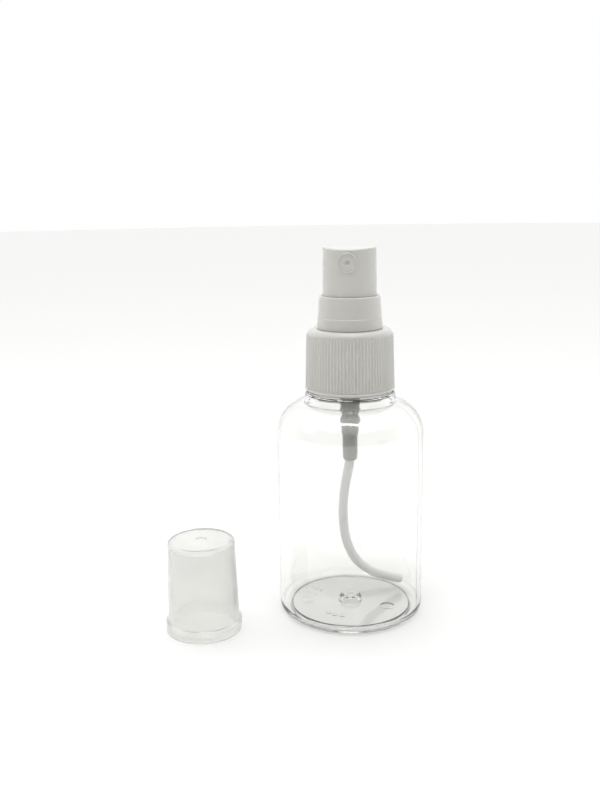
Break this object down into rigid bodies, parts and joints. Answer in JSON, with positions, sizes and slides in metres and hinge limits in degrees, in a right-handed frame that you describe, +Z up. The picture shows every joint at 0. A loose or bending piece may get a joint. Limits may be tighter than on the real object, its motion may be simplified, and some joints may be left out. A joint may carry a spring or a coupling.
{
  "type": "spray bottle",
  "caption": "Small clear round spray bottle with a ribbed screw closure, press-down mist actuator, curved dip tube, and a frosted overcap standing beside it.",
  "frame": {"origin": "on the bottle's axis, at the plane of its standing ring", "axes": "+Z up along the bottle's axis, -Y is the way the nozzle points at rest, the overcap stands towards -X and -Y"},
  "size_m": [0.0649, 0.0468, 0.096],
  "materials": {
    "pet_clear": "clear blow-moulded PET, glossy, transparent",
    "pp_white": "white moulded PP, satin gloss",
    "pp_natural": "natural translucent PP",
    "ldpe_white": "soft white LDPE",
    "pe_foam": "white PE foam sheet",
    "ldpe_clear": "translucent extruded LDPE",
    "spring_steel": "drawn stainless spring wire",
    "ball_steel": "polished stainless bearing ball",
    "pp_frosted": "frosted translucent PP"
  },
  "bodies": {
    "bottle": {"bottle": "pet_clear"},
    "pump": {"pump_housing": "pp_natural", "neck_gasket": "pe_foam", "retainer_collar": "pp_white", "dip_tube": "ldpe_clear", "return_spring": "spring_steel"},
    "closure": {"closure": "pp_white"},
    "plunger": {"piston": "ldpe_white", "piston_seat": "pp_natural"},
    "actuator": {"actuator": "pp_white", "nozzle_insert": "pp_white", "stem": "pp_natural"},
    "inlet_ball": {"inlet_ball": "ball_steel"},
    "overcap": {"overcap": "pp_frosted"}
  },
  "joints": [
    {"name": "pump_rise", "type": "slide", "parent": "bottle", "child": "pump", "axis": [0, 0, 1], "range_m": [0, 0.0048]},
    {"name": "closure_turn", "type": "hinge", "parent": "pump", "child": "closure", "pos_m": [0, 0, 0.0672], "axis": [0, 0, 1], "range_deg": [0, 540]},
    {"name": "plunger_press", "type": "slide", "parent": "pump", "child": "plunger", "axis": [0, 0, -1], "range_m": [0, 0.0045], "stiffness_N_per_m": 700, "springref_m": -0.003, "deforming": ["return_spring"]},
    {"name": "actuator_swivel", "type": "hinge", "parent": "plunger", "child": "actuator", "pos_m": [0, 0, 0.0896], "axis": [0, 0, 1], "continuous": true},
    {"name": "inlet_ball_lift", "type": "slide", "parent": "pump", "child": "inlet_ball", "axis": [0, 0, 1], "range_m": [0, 0.0012]},
    {"name": "overcap_lift", "type": "slide", "parent": "bottle", "child": "overcap", "axis": [0, 0, 1], "range_m": [0, 0.1]}
  ],
  "couplings": [
    {"joint": "pump_rise", "follows": "closure_turn", "m_per_rad": 0.00050532}
  ]
}
